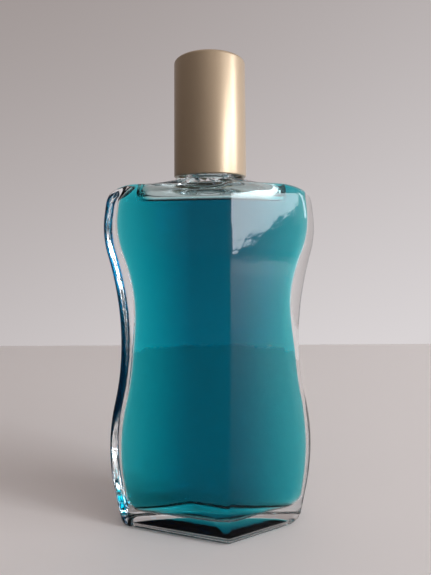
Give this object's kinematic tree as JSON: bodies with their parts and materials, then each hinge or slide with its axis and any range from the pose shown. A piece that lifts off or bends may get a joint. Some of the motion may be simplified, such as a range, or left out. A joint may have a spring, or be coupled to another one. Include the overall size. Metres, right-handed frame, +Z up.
{
  "type": "screw-capped lotion bottle",
  "caption": "Flat glass lotion bottle with waved sides, an upright ridge front and back, teal lotion, a pour plug and a tall champagne screw cap that unscrews.",
  "frame": {"origin": "centre of the base on the neck axis, at the plane the bottle stands on", "axes": "+Z up along the neck axis, -Y towards the front panels, +X towards the ridge's side of the front"},
  "size_m": [0.0736, 0.0336, 0.1608],
  "materials": {
    "glass": "clear soda-lime flint glass, fire polished",
    "lotion": "clear teal liquid",
    "plug_plastic": "natural low-density polyethylene",
    "liner_foam": "white expanded polyethylene",
    "insert_plastic": "ivory polypropylene",
    "cap_lacquer": "satin champagne metallic lacquer on moulded plastic"
  },
  "bodies": {
    "bottle": {"glass_bottle": "glass", "lotion": "lotion", "pour_plug": "plug_plastic"},
    "liner": {"seal_liner": "liner_foam"},
    "cap": {"cap_insert": "insert_plastic", "cap_shell": "cap_lacquer"}
  },
  "joints": [
    {"name": "cap_lift", "type": "slide", "parent": "bottle", "child": "liner", "axis": [0, 0, 1], "range_m": [0, 0.01588]},
    {"name": "cap_turn", "type": "hinge", "parent": "liner", "child": "cap", "pos_m": [0, 0, 0], "axis": [0, 0, 1], "range_deg": [0, 1800]}
  ],
  "couplings": [
    {"joint": "cap_lift", "follows": "cap_turn", "m_per_rad": 0.00050532}
  ]
}
